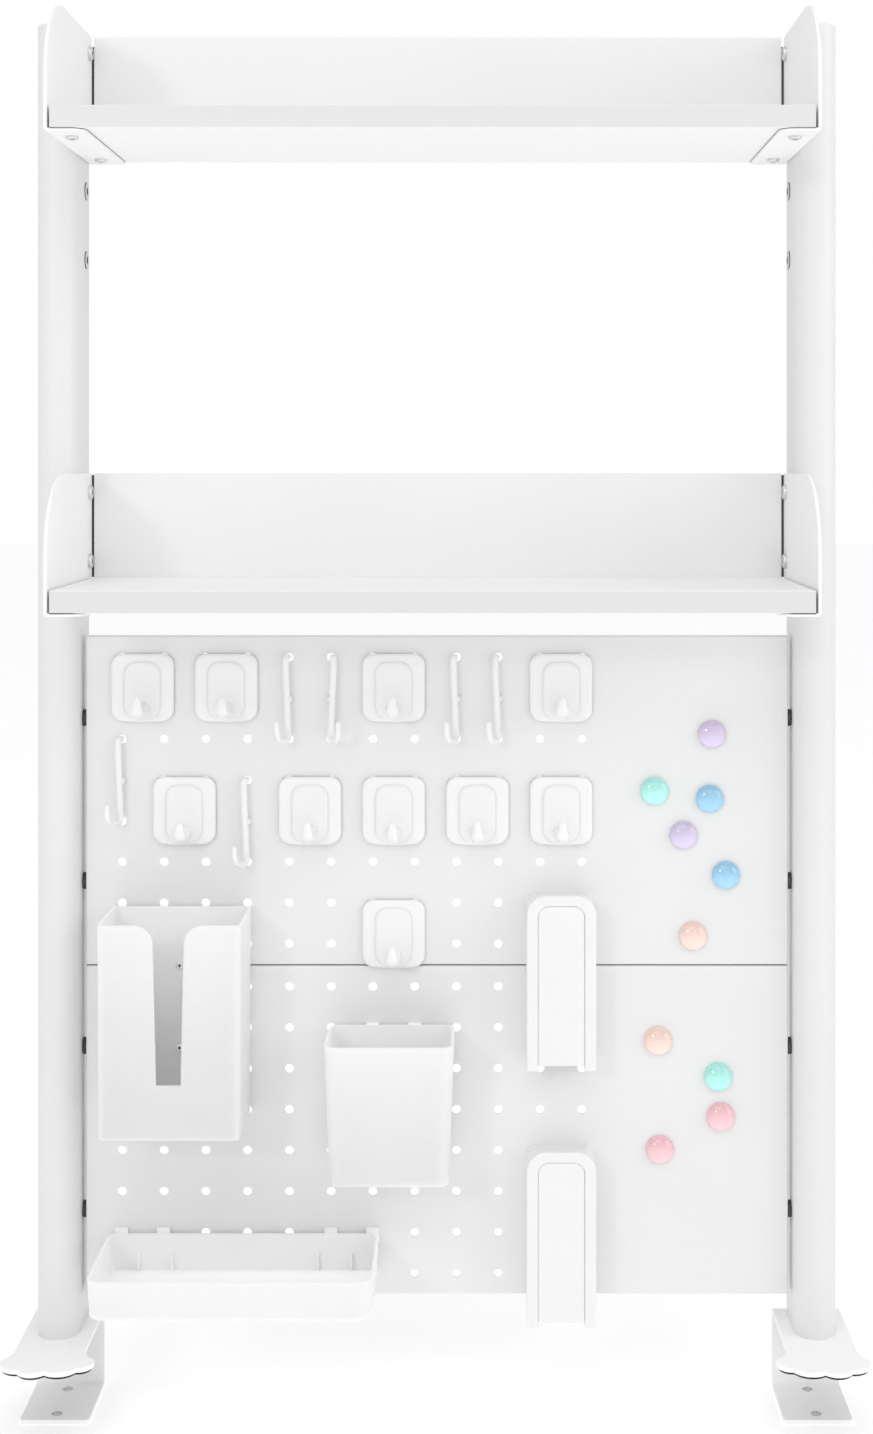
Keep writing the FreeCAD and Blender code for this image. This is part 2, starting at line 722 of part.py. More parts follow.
def square_hook(panel, column, row):
    """Hook whose two pegs sit in this column and the next."""
    x = peg_x(column) + PEG_PITCH_X / 2
    z = peg_z(panel, row) + HOOK_PEG_DROP
    front = PANEL_FRONT_Y - HOOK_BASE
    half = HOOK_WIDTH / 2
    low = z - HOOK_HEIGHT / 2
    high = z + HOOK_HEIGHT / 2
    base_outline = [
        (x - half, low + HOOK_BOW, HOOK_CORNER),
        (x, low, HOOK_BOW_R),
        (x + half, low + HOOK_BOW, HOOK_CORNER),
        (x + half, high, HOOK_CORNER),
        (x - half, high, HOOK_CORNER),
    ]
    base = prism(base_outline, "xz", front, PANEL_FRONT_Y)
    base = soften(base, "Y", front, HOOK_EDGE)
    tongue_outline = [
        (x - TONGUE_WIDTH / 2, low + HOOK_BOW + HOOK_EDGE, 0),
        (x + TONGUE_WIDTH / 2, low + HOOK_BOW + HOOK_EDGE, 0),
        (x + TONGUE_WIDTH / 2, high - TONGUE_TOP_DROP, TONGUE_CORNER),
        (x - TONGUE_WIDTH / 2, high - TONGUE_TOP_DROP, TONGUE_CORNER),
    ]
    tongue = prism(tongue_outline, "xz", front - TONGUE_RISE, front + HOOK_EDGE)
    tongue = soften(tongue, "Y", front - TONGUE_RISE, HOOK_EDGE)
    pieces = [base, tongue, hook_tip(x, front, z - TIP_DROP)]
    for sign in (-1, 1):
        start = V(x + sign * PEG_PITCH_X / 2, PANEL_FRONT_Y, peg_z(panel, row))
        pieces.append(cylinder(start, V(0, 1, 0), HOOK_PEG_R, HOOK_PEG_REACH))
    return fuse(pieces)


def j_peg(column, row, side):
    """Wire peg over three holes: elbow in the top one, stud in the middle one, tip at the bottom."""
    x = peg_x(column)
    top_z = peg_z("upper", row)
    low_z = top_z - 2 * PEG_PITCH_Z
    wire_y = PANEL_FRONT_Y - PEG_STAND
    root = V(x + side * PEG_ROOT_LEAN, PANEL_FRONT_Y + PEG_REACH, top_z)
    top = V(x + side * PEG_LEAN, wire_y, top_z)
    bottom = V(x, wire_y, low_z)
    turn = bottom + V(side * PEG_TURN[0], PEG_TURN[1], PEG_TURN[2])
    tip = bottom + V(side * PEG_TIP[0], PEG_TIP[1], PEG_TIP[2])
    path = [
        (root, 0),
        (top, PEG_ELBOW),
        (bottom, PEG_TIP_BEND),
        (turn, PEG_TIP_BEND),
        (tip, 0),
    ]
    stud_start = V(x, wire_y, low_z + PEG_PITCH_Z)
    stud = cylinder(stud_start, V(0, 1, 0), PEG_STUD_R, PEG_STAND + PEG_REACH)
    return fuse([rod(path, PEG_WIRE_R), stud])


# Containers that hang on prongs and lift off


def rounded_slab(x, y, z, radius):
    path = [(V(u, v, z), r) for u, v, r in rectangle(x, y, radius)]
    return rounded_wire(path)


def tub(x, front_y, z, taper, radius, foot_edge):
    """Open container whose left, right and front walls lean in towards the foot by the taper."""

    def solid(inset, floor, top):
        slope = taper / (z[1] - z[0])
        wires = []
        for level in (z[0] + floor, top):
            lean = slope * (z[1] - level) + inset
            across = (x[0] + lean, x[1] - lean)
            deep = (front_y + lean, TUB_BACK_Y - inset)
            wires.append(rounded_slab(across, deep, level, max(radius - inset, 1.0)))
        return Part.makeLoft(wires, True, True)

    outer = solid(0, 0, z[1])
    outer = soften(outer, "Z", z[0], foot_edge)
    return outer.cut(solid(WALL, WALL, z[1] + WALL))


def hanger(panel, row, first_column, last_column):
    """Strip behind a container with two prongs that hook over the lower rim of their holes."""
    z = peg_z(panel, row)
    back = PANEL_FRONT_Y - GAP
    rest_z = z - PEG_HOLE_R + FIT + PRONG_R
    across = (peg_x(first_column) - HANGER_OVERHANG, peg_x(last_column) + HANGER_OVERHANG)
    pieces = [block(across, (TUB_BACK_Y, back), (z - HANGER_HEIGHT, z - PEG_HOLE_R))]
    end = back + PRONG_REACH
    tab_half, tab_rise = HANGER_TAB
    for column in (first_column, last_column):
        x = peg_x(column)
        tab = ((x - tab_half, x + tab_half), (TUB_BACK_Y, back), (z - HANGER_HEIGHT, z + tab_rise))
        pieces.append(block(*tab))
        pieces.append(cylinder(V(x, TUB_BACK_Y, rest_z), V(0, 1, 0), PRONG_R, end - TUB_BACK_Y))
        lip = (z - PEG_HOLE_R - LIP_DROP, rest_z)
        pieces.append(block((x - PRONG_R, x + PRONG_R), (end - LIP_THICKNESS, end), lip))
    return pieces


def tissue_box():
    shell = tub(BOX_X, BOX_FRONT_Y, BOX_Z, BOX_TAPER, BOX_CORNER, BOX_FOOT_EDGE)
    top = BOX_Z[1]
    half_top = BOX_SLOT_TOP / 2
    half_bottom = BOX_SLOT_BOTTOM / 2
    reach = half_top + 2 * BOX_SHOULDER
    slot_outline = [
        (BOX_SLOT_X - reach, top + WALL, 0),
        (BOX_SLOT_X - reach, top, 0),
        (BOX_SLOT_X - half_top, top, BOX_SHOULDER),
        (BOX_SLOT_X - half_bottom, top - BOX_SLOT_DEPTH, BOX_SLOT_CORNER),
        (BOX_SLOT_X + half_bottom, top - BOX_SLOT_DEPTH, BOX_SLOT_CORNER),
        (BOX_SLOT_X + half_top, top, BOX_SHOULDER),
        (BOX_SLOT_X + reach, top, 0),
        (BOX_SLOT_X + reach, top + WALL, 0),
    ]
    shell = shell.cut(prism(slot_outline, "xz", BOX_FRONT_Y - WALL, BOX_FRONT_Y + 3 * WALL))
    for z in BOX_HOLE_Z:
        start = V(BOX_HOLE_X, TUB_BACK_Y - 2 * WALL, z)
        shell = shell.cut(cylinder(start, V(0, 1, 0), BOX_HOLE_R, 3 * WALL))
    foot_z = (BOX_Z[0] + BOX_FOOT_RISE[0], BOX_Z[0] + BOX_FOOT_RISE[1])
    foot = block((peg_x(1), peg_x(2)), (TUB_BACK_Y, PANEL_FRONT_Y - GAP), foot_z)
    return fuse([shell, foot] + hanger("upper", 0, 1, 2))


def pencil_cup():
    shell = tub(CUP_X, CUP_FRONT_Y, CUP_Z, CUP_TAPER, CUP_CORNER, CUP_FOOT_EDGE)
    return fuse([shell] + hanger("lower", 6, 6, 7))


def tray():
    shell = tub(TRAY_X, TRAY_FRONT_Y, TRAY_Z, TRAY_TAPER, TRAY_CORNER, TRAY_FOOT_EDGE)
    width, depth, height = TRAY_RIB
    inside_back = TUB_BACK_Y - WALL
    floor = TRAY_Z[0] + WALL
    ribs = []
    for x in TRAY_RIB_X:
        across = (x - width / 2, x + width / 2)
        ribs.append(block(across, (inside_back - depth, inside_back), (floor, floor + height)))
    return fuse([shell] + ribs + hanger("lower", 1, 0, 1) + hanger("lower", 1, 5, 6))


# Fold-down rests


def rest_frame(which):
    """Arched housing on a back plate, open at the foot, with a window that the flap closes."""
    low, high = REST_Z[which]
    half = REST_WIDTH / 2
    window = REST_WINDOW / 2
    back_y = PANEL_FRONT_Y - REST_BACK
    plate_top = high - REST_TOP_FALL
    across = (REST_X - half, REST_X + half)
    plate = prism(rectangle(across, (low, plate_top), REST_BACK_CORNER), "xz", back_y, PANEL_FRONT_Y)
    outer = [
        (across[0], low, 0),
        (across[1], low, 0),
        (across[1], high, REST_ARCH),
        (across[0], high, REST_ARCH),
    ]
    body = prism(outer, "xz", REST_FRONT_Y, back_y)
    fall_start = REST_FRONT_Y + 2 * REST_EDGE
    fall = [
        (fall_start, high, 0),
        (back_y, plate_top, 0),
        (back_y, high + OVERCUT, 0),
        (fall_start, high + OVERCUT, 0),
    ]
    body = body.cut(prism(fall, "yz", across[0] - OVERCUT, across[1] + OVERCUT))
    opening = [
        (REST_X - window, low - OVERCUT, 0),
        (REST_X + window, low - OVERCUT, 0),
        (REST_X + window, high - REST_WINDOW_TOP, REST_WINDOW_ARCH),
        (REST_X - window, high - REST_WINDOW_TOP, REST_WINDOW_ARCH),
    ]
    body = body.cut(prism(opening, "xz", REST_FRONT_Y - OVERCUT, back_y))
    body = soften(body, "Y", REST_FRONT_Y, REST_EDGE)
    foot_x = (REST_X - window, REST_X + window)
    foot = block(foot_x, (back_y, PANEL_FRONT_Y), (low - OVERCUT, low + REST_OPEN_FOOT))
    frame = fuse([plate.cut(foot), body])
    pin_start = V(REST_X - half + WALL, FLAP_PIN_Y, low + FLAP_PIN_RISE)
    pin_bore = cylinder(pin_start, V(1, 0, 0), FLAP_PIN_R + FIT, REST_WIDTH - 2 * WALL)
    pieces = [frame.cut(pin_bore)]
    for column in REST_PEG_COLUMNS:
        for panel, row in REST_PEG_ROWS[which]:
            start = V(peg_x(column), PANEL_FRONT_Y, peg_z(panel, row))
            pieces.append(cylinder(start, V(0, 1, 0), HOOK_PEG_R, HOOK_PEG_REACH))
    return fuse(pieces)


def rest_flap(which):
    low, high = REST_Z[which]
    half = REST_WINDOW / 2 - FLAP_GAP
    top = high - REST_WINDOW_TOP - FLAP_GAP
    front = REST_FRONT_Y + FLAP_RECESS
    outline = [
        (REST_X - half, low + FLAP_FOOT_RISE, 0),
        (REST_X + half, low + FLAP_FOOT_RISE, 0),
        (REST_X + half, top, REST_WINDOW_ARCH - FLAP_GAP),
        (REST_X - half, top, REST_WINDOW_ARCH - FLAP_GAP),
    ]
    panel = prism(outline, "xz", front, front + FLAP_THICKNESS)
    panel = soften(panel, "Y", front, REST_EDGE)
    pin_z = low + FLAP_PIN_RISE
    barrel = cylinder(V(REST_X - half, FLAP_PIN_Y, pin_z), V(1, 0, 0), FLAP_BARREL_R, 2 * half)
    web = block(
        (REST_X - half, REST_X + half),
        (front + FLAP_THICKNESS, FLAP_PIN_Y),
        (pin_z - FLAP_BARREL_R, pin_z + FLAP_BARREL_R),
    )
    bore = cylinder(V(REST_X - half, FLAP_PIN_Y, pin_z), V(1, 0, 0), FLAP_PIN_R + FIT, 2 * half)
    return fuse([panel, barrel, web]).cut(bore)


def rest_pins():
    solids = []
    for low, _ in REST_Z.values():
        start = V(REST_X - REST_WIDTH / 2 + WALL, FLAP_PIN_Y, low + FLAP_PIN_RISE)
        solids.append(cylinder(start, V(1, 0, 0), FLAP_PIN_R, REST_WIDTH - 2 * WALL))
    return solids


# Magnets


def magnet(x, z):
    """Low dome with a short upright rim, turned about its axis and facing the user."""
    face = PANEL_FRONT_Y - GAP / 2
    rim = V(x + MAGNET_R, face - MAGNET_RIM, z)
    crown = V(x, face - MAGNET_HEIGHT, z)
    rise = MAGNET_HEIGHT - MAGNET_RIM
    sphere_r = (MAGNET_R**2 + rise**2) / (2 * rise)
    centre_y = crown.y + sphere_r
    half_angle = math.asin(MAGNET_R / sphere_r) / 2
    shoulder = V(x + sphere_r * math.sin(half_angle), centre_y - sphere_r * math.cos(half_angle), z)
    centre = V(x, face, z)
    foot = V(x + MAGNET_R - MAGNET_FOOT, face, z)
    edge = V(x + MAGNET_R, face - MAGNET_FOOT, z)
    edges = [
        Part.LineSegment(centre, foot).toShape(),
        Part.LineSegment(foot, edge).toShape(),
        Part.LineSegment(edge, rim).toShape(),
        Part.Arc(rim, shoulder, crown).toShape(),
        Part.LineSegment(crown, centre).toShape(),
    ]
    return Part.Face(Part.Wire(edges)).revolve(centre, V(0, 1, 0), 360)


# The whole object

add_pair("post", post())
add_pair("post_cap", post_cap())
add_pair("foot_plug", foot_plug())
add_group("post_inserts", post_inserts())
add_pair("clamp_bracket", clamp_bracket())
add_pair("clamp_pad", clamp_pad())
add_group("foot_screws", foot_screws())

for level, shelf_z in SHELF_TOP_Z.items():
    add("shelf_board_" + level, shelf_board(shelf_z))
    add_pair("shelf_bracket_" + level, shelf_bracket(shelf_z))
    add("back_stop_" + level, back_stop(shelf_z))
add_group("bracket_post_screws", bracket_post_screws())
add_group("board_screws", board_screws())

for level in PANEL_BASE_Z:
    add("pegboard_" + level, pegboard(level))
add_group("panel_spacers", panel_spacers())
add_group("panel_screws", panel_screws())

for number, place in enumerate(HOOKS, 1):
    add(f"square_hook_{number}", square_hook(*place))
for number, place in enumerate(PEGS, 1):
    add(f"j_peg_{number}", j_peg(*place))

add("tissue_box", tissue_box())
add("pencil_cup", pencil_cup())
add("tray", tray())

for level in REST_Z:
    add("rest_frame_" + level, rest_frame(level))
    add("rest_flap_" + level, rest_flap(level))
add_group("rest_pins", rest_pins())

for number, place in enumerate(MAGNETS, 1):
    add(f"magnet_{number}", magnet(*place))

os.makedirs("parts", exist_ok=True)
for name, shape in nodes.items():
    shape.exportStep(f"parts/{name}.step")
print(len(nodes), "nodes")
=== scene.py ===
import json
import math

import bmesh
import bpy
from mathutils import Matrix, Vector


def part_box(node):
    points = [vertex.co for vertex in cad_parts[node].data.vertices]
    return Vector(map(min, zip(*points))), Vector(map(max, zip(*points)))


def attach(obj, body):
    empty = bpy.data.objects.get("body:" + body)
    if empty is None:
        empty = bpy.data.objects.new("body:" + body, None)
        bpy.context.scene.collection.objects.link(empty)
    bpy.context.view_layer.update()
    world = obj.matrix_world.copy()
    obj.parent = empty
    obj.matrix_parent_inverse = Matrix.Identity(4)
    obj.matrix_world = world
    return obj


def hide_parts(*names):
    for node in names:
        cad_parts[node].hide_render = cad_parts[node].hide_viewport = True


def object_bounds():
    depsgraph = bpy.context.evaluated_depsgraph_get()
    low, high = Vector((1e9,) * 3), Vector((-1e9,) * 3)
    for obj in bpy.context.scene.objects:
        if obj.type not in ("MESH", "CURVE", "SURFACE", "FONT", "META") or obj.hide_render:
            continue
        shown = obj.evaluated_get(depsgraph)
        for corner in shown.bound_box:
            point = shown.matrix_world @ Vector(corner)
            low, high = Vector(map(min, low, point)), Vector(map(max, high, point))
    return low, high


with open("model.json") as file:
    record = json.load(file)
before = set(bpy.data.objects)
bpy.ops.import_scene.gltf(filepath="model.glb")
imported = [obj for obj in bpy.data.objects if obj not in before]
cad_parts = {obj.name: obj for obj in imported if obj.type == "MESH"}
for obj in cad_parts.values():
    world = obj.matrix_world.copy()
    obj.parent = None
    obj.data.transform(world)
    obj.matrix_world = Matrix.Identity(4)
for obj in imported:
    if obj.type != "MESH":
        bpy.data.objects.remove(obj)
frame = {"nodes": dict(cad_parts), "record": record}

MM = 0.001
cad_low, cad_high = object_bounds()
nodes = frame["nodes"]
record = frame["record"]
node_slots = {part["node"]: part["material_slot"] for part in record["subparts"]}
panel_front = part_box("pegboard_upper")[0].y
post_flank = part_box("post_right")[0].x  # inner flank of the right-hand post

FORWARD = Vector((0, -1, 0))
BACKWARD = Vector((0, 1, 0))
UPWARD = Vector((0, 0, 1))


# Material building blocks


class Graph:
    """A material's node tree, with one short call for each kind of node."""

    def __init__(self, name):
        self.material = bpy.data.materials.new(name)
        self.material.use_nodes = True
        self.tree = self.material.node_tree
        self.tree.nodes.clear()
        self.output = self.tree.nodes.new("ShaderNodeOutputMaterial")
        self.shader = self.add("ShaderNodeBsdfPrincipled")
        self.link(self.shader.outputs[0], self.output.inputs["Surface"])
        self.place = self.add("ShaderNodeTexCoord").outputs["Object"]

    def add(self, kind, **settings):
        node = self.tree.nodes.new(kind)
        for key, value in settings.items():
            setattr(node, key, value)
        return node

    def link(self, output, socket):
        self.tree.links.new(output, socket)

    def set(self, **values):
        for key, value in values.items():
            self.shader.inputs[key.replace("_", " ")].default_value = value

    def noise(self, scale, detail=2.0, roughness=0.5, stretch=None):
        """Noise over the object's own coordinates. Scale is in features per metre."""
        place = self.place
        if stretch is not None:
            mapping = self.add("ShaderNodeMapping")
            mapping.inputs["Scale"].default_value = stretch
            self.link(place, mapping.inputs["Vector"])
            place = mapping.outputs[0]
        node = self.add("ShaderNodeTexNoise")
        node.inputs["Scale"].default_value = scale
        node.inputs["Detail"].default_value = detail
        node.inputs["Roughness"].default_value = roughness
        self.link(place, node.inputs["Vector"])
        return node.outputs["Fac"]

    def spread(self, value, low, high, from_low=0.3, from_high=0.7):
        """Map a noise value to a range."""
        node = self.add("ShaderNodeMapRange")
        node.inputs["From Min"].default_value = from_low
        node.inputs["From Max"].default_value = from_high
        node.inputs["To Min"].default_value = low
        node.inputs["To Max"].default_value = high
        self.link(value, node.inputs["Value"])
        return node.outputs[0]

    def blend(self, amount, first, second):
        """Mix two colours by an amount between 0 and 1."""
        node = self.add("ShaderNodeMix", data_type="RGBA")
        self.link(amount, node.inputs[0])
        for socket, colour in ((node.inputs[6], first), (node.inputs[7], second)):
            if isinstance(colour, tuple):
                socket.default_value = (*colour, 1)
            else:
                self.link(colour, socket)
        return node.outputs[2]

    def bump(self, height, depth, below=None):
        """Bump of a given depth in millimetres, on top of an earlier bump."""
        node = self.add("ShaderNodeBump")
        node.inputs["Distance"].default_value = depth * MM
        self.link(height, node.inputs["Height"])
        if below is not None:
            self.link(below, node.inputs["Normal"])
        return node.outputs[0]


# How far light wanders inside a solid moulding and inside a thin-walled one, in metres. The thin
# walls of the containers let it through, except the back wall, which is doubled by the hanger.
# The change happens between these two depths of the object.
SOLID_DEPTH = 0.002
THIN_WALL_DEPTH = 0.012
THIN_WALL_Y = (-0.0180, -0.0158)


def shade(colour, factor):
    return tuple(min(1.0, channel * factor) for channel in colour)


def powder_coat(name, colour, roughness=0.42, grain=2600):
    """Sprayed powder coat: orange peel, fine grain, and a faint unevenness of tone and gloss."""
    g = Graph(name)
    patches = g.spread(g.noise(7, 3), 0, 1)
    g.link(g.blend(patches, shade(colour, 0.985), shade(colour, 1.012)), g.shader.inputs["Base Color"])
    g.link(g.spread(g.noise(60, 3), roughness - 0.05, roughness + 0.07), g.shader.inputs["Roughness"])
    peel = g.bump(g.noise(420, 2), 0.035)
    g.link(g.bump(g.noise(grain, 2), 0.012, peel), g.shader.inputs["Normal"])
    g.set(IOR=1.5)
    return g.material


def moulded_plastic(name, colour, roughness=0.36, grain=3600, thin=False):
    """Injection-moulded plastic: spark-eroded grain, slow flow marks, and some light inside."""
    g = Graph(name)
    flow = g.spread(g.noise(24, 3, 0.6, (1, 1, 2.5)), 0, 1)
    g.link(g.blend(flow, shade(colour, 0.99), shade(colour, 1.01)), g.shader.inputs["Base Color"])
    g.link(g.spread(g.noise(90, 3), roughness - 0.04, roughness + 0.06), g.shader.inputs["Roughness"])
    sink = g.bump(g.noise(70, 1), 0.03)
    g.link(g.bump(g.noise(grain, 2), 0.006, sink), g.shader.inputs["Normal"])
    g.set(IOR=1.5, Subsurface_Weight=0.2, Subsurface_Radius=(1.0, 1.0, 1.0))
    g.set(Subsurface_Scale=THIN_WALL_DEPTH if thin else SOLID_DEPTH)
    if thin:
        where = g.add("ShaderNodeSeparateXYZ")
        g.link(g.place, where.inputs[0])
        front, back = THIN_WALL_Y
        weight = g.spread(where.outputs["Y"], 1.0, 0.0, front, back)
        g.link(weight, g.shader.inputs["Subsurface Weight"])
    return g.material


def melamine(name, colour, edge_shade_tone=0.76):
    """White melamine face with a faint pearl structure, and painted shade that makes the upright edges
    greyer.
    """
    g = Graph(name)
    pearl = g.spread(g.noise(900, 2, 0.5, (0.35, 1, 1)), 0, 1)
    face = g.blend(pearl, shade(colour, 0.985), shade(colour, 1.01))
    normal = g.add("ShaderNodeSeparateXYZ")
    g.link(g.add("ShaderNodeTexCoord").outputs["Normal"], normal.inputs[0])
    upright = g.add("ShaderNodeMath", operation="ABSOLUTE")
    g.link(normal.outputs["Z"], upright.inputs[0])
    # Painted shade: the upright edges get a greyer tone than the faces above and below them.
    edge_shade_share = g.spread(upright.outputs[0], 0, 1, 0.75, 0.35)
    g.link(g.blend(edge_shade_share, face, shade(colour, edge_shade_tone)), g.shader.inputs["Base Color"])
    g.link(g.spread(g.noise(300, 3, 0.5, (0.3, 1, 1)), 0.34, 0.5), g.shader.inputs["Roughness"])
    wave = g.bump(g.noise(45, 1), 0.02)
    g.link(g.bump(g.noise(1500, 3, 0.6, (0.35, 1, 1)), 0.02, wave), g.shader.inputs["Normal"])
    return g.material


def foam_rubber(name, colour):
    """Closed-cell foam pad."""
    g = Graph(name)
    cells = g.add("ShaderNodeTexVoronoi")
    cells.inputs["Scale"].default_value = 1400
    g.link(g.place, cells.inputs["Vector"])
    dust = g.spread(g.noise(40, 3), 0, 1)
    g.link(g.blend(dust, colour, shade(colour, 1.6)), g.shader.inputs["Base Color"])
    g.link(g.bump(cells.outputs["Distance"], 0.15), g.shader.inputs["Normal"])
    g.set(Roughness=0.85)
    return g.material


def zinc_steel(name, colour):
    """Bright zinc plating with turning marks and small stains."""
    g = Graph(name)
    stain = g.spread(g.noise(500, 4), 0, 1)
    g.link(g.blend(stain, shade(colour, 0.9), colour), g.shader.inputs["Base Color"])
    g.link(g.spread(g.noise(800, 3), 0.24, 0.42), g.shader.inputs["Roughness"])
    g.link(g.bump(g.noise(2400, 2, 0.5, (1, 6, 1)), 0.01), g.shader.inputs["Normal"])
    g.set(Metallic=1.0)
    return g.material


def jelly_dome(name, colour):
    """Glossy translucent plastic of the magnets, with painted shade darkening it above and at the rim,
    and painted light making it lighter below.
    """
    g = Graph(name)
    normal = g.add("ShaderNodeSeparateXYZ")
    g.link(g.add("ShaderNodeTexCoord").outputs["Normal"], normal.inputs[0])
    # Painted light and shade: lighter where the dome faces down, darker where it faces up.
    upward = g.spread(normal.outputs["Z"], 0, 1, -0.45, 0.5)
    painted_light_and_shade = g.blend(upward, shade(colour, 1.14), shade(colour, 0.80))
    # Painted shade at the rim: a darker, richer colour where the dome turns away from the front.
    rim_shade_colour = tuple(channel**1.35 for channel in colour)
    rim = g.spread(normal.outputs["Y"], 0, 1, -0.75, -0.25)
    cloud = g.spread(g.noise(260, 3), 0, 0.08)
    tone = g.blend(rim, painted_light_and_shade, rim_shade_colour)
    g.link(g.blend(cloud, tone, (1.0, 1.0, 1.0)), g.shader.inputs["Base Color"])
    g.link(g.bump(g.noise(500, 1), 0.01), g.shader.inputs["Normal"])
    g.set(Roughness=0.07, IOR=1.49, Subsurface_Weight=0.3, Subsurface_Scale=SOLID_DEPTH)
    g.set(Subsurface_Radius=(1.0, 1.0, 1.0), Coat_Weight=1.0, Coat_Roughness=0.1)
    return g.material


# Linear colours
POST_COAT = (0.74, 0.74, 0.74)
BRACKET_COAT = (0.90, 0.90, 0.90)
# Lighter than the coat of the other steel parts: painted light for the clamps' shaded jaws.
CLAMP_COAT_PAINTED_LIGHT = (0.95, 0.95, 0.95)
PANEL_COAT = (0.77, 0.77, 0.77)
STOP_COAT = (0.825, 0.825, 0.825)
BOARD = (0.885, 0.885, 0.885)
HOOK_WHITE = (0.84, 0.84, 0.84)
BOX_WHITE = (0.91, 0.91, 0.91)
CUP_WHITE = (0.92, 0.92, 0.92)
TRAY_WHITE = (0.88, 0.88, 0.88)
REST_WHITE = (0.805, 0.805, 0.805)

DARK = (0.045, 0.045, 0.047)
PAD_BLACK = (0.02, 0.02, 0.021)
ZINC = (0.76, 0.76, 0.755)

materials = {
    "post_coat": powder_coat("post_coat", POST_COAT),
    "bracket_coat": powder_coat("bracket_coat", BRACKET_COAT, 0.46),
    "stop_coat": powder_coat("stop_coat", STOP_COAT, 0.5, 2200),
    "panel_coat": powder_coat("panel_coat", PANEL_COAT, 0.52, 2200),
    "board_laminate": melamine("board_laminate", BOARD),
    "cap_plastic": moulded_plastic("cap_plastic", POST_COAT, 0.45),
    "dark_plastic": moulded_plastic("dark_plastic", DARK, 0.5),
    "pad_rubber": foam_rubber("pad_rubber", PAD_BLACK),
    "plated_steel": zinc_steel("plated_steel", ZINC),
    "hook_plastic": moulded_plastic("hook_plastic", HOOK_WHITE),
    "peg_plastic": moulded_plastic("peg_plastic", HOOK_WHITE),
    "box_plastic": moulded_plastic("box_plastic", BOX_WHITE, thin=True),
    "cup_plastic": moulded_plastic("cup_plastic", CUP_WHITE, thin=True),
    "tray_plastic": moulded_plastic("tray_plastic", TRAY_WHITE, thin=True),
    "rest_plastic": moulded_plastic("rest_plastic", REST_WHITE),
    "magnet_lilac": jelly_dome("magnet_lilac", (0.66, 0.58, 0.78)),
    "magnet_mint": jelly_dome("magnet_mint", (0.42, 0.87, 0.80)),
    "magnet_blue": jelly_dome("magnet_blue", (0.32, 0.62, 0.85)),
    "magnet_peach": jelly_dome("magnet_peach", (0.93, 0.68, 0.60)),
    "magnet_pink": jelly_dome("magnet_pink", (0.92, 0.55, 0.59)),
}
# A lighter copy of the white powder coat for the clamp brackets: painted light on the jaws under the foot
# plate.
clamp_coat_painted_light = powder_coat("clamp_coat_painted_light", CLAMP_COAT_PAINTED_LIGHT, 0.46)
body_of_node = {node: body for body, members in record["behaviour"]["bodies"].items() for node in members}


def finish_cad_node(name, node):
    """Give a CAD node its material; its own normals already keep flats flat and curves smooth."""
    node.data.materials.clear()
    # The clamp brackets get the lighter copy of the coat, as painted light.
    is_clamp = name.startswith("clamp_bracket")
    node.data.materials.append(clamp_coat_painted_light if is_clamp else materials[node_slots[name]])


for name, node in nodes.items():
    finish_cad_node(name, node)


# Mesh building blocks


def piece_from(name, bm, slot_name, body, replaced=()):
    """Turn a bmesh into a smooth piece with its material, riding on a body."""
    bmesh.ops.recalc_face_normals(bm, faces=bm.faces)
    mesh = bpy.data.meshes.new(name)
    bm.to_mesh(mesh)
    bm.free()
    for face in mesh.polygons:
        face.use_smooth = True
    piece = bpy.data.objects.new(name, mesh)
    bpy.context.scene.collection.objects.link(piece)
    mesh.materials.append(materials[slot_name])
    weighted = piece.modifiers.new("weighted_normals", "WEIGHTED_NORMAL")
    weighted.keep_sharp = True
    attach(piece, body)
    if replaced:
        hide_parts(*replaced)
    return piece


def add_shell(bm, rings, closed=False):
    """Skin a row of equal rings of points. The ends are capped, or joined if closed."""
    loops = [[bm.verts.new(point) for point in ring] for ring in rings]
    count = len(loops[0])
    pairs = list(zip(loops, loops[1:]))
    if closed:
        pairs.append((loops[-1], loops[0]))
    for near, far in pairs:
        for i in range(count):
            j = (i + 1) % count
            bm.faces.new((near[i], near[j], far[j], far[i]))
    if not closed:
        bm.faces.new(loops[0][::-1])
        bm.faces.new(loops[-1])


def cut_corners(rows, rounds=3):
    """Round off a row of points, keeping both ends. Extra columns, such as radii, follow along."""
    for _ in range(rounds):
        smoother = [rows[0]]
        for a, b in zip(rows, rows[1:]):
            smoother.append(tuple(p * 0.75 + q * 0.25 for p, q in zip(a, b)))
            smoother.append(tuple(p * 0.25 + q * 0.75 for p, q in zip(a, b)))
        smoother.append(rows[-1])
        rows = smoother
    return rows


def add_bar(bm, rows, around=20, dome=4):
    """Bar through (x, y, z, half width, half thickness) rows in millimetres, with a domed far end."""
    centres = [Vector(row[:3]) * MM for row in rows]
    sizes = [(row[3] * MM, row[4] * MM) for row in rows]
    tangents = []
    for i in range(len(centres)):
        ahead = centres[min(i + 1, len(centres) - 1)]
        behind = centres[max(i - 1, 0)]
        tangents.append((ahead - behind).normalized())
    for step in range(1, dome + 1):
        angle = math.radians(86) * step / dome
        width, thickness = sizes[len(rows) - 1]
        centres.append(centres[len(rows) - 1] + tangents[len(rows) - 1] * (thickness * math.sin(angle)))
        sizes.append((width * math.cos(angle), thickness * math.cos(angle)))
        tangents.append(tangents[len(rows) - 1])
    rings = []
    for centre, (width, thickness), tangent in zip(centres, sizes, tangents):
        across = (Vector((1, 0, 0)) - tangent * tangent.x).normalized()
        up = tangent.cross(across)
        ring = []
        for i in range(around):
            angle = math.tau * i / around
            ring.append(centre + across * (width * math.cos(angle)) + up * (thickness * math.sin(angle)))
        rings.append(ring)
    add_shell(bm, rings)


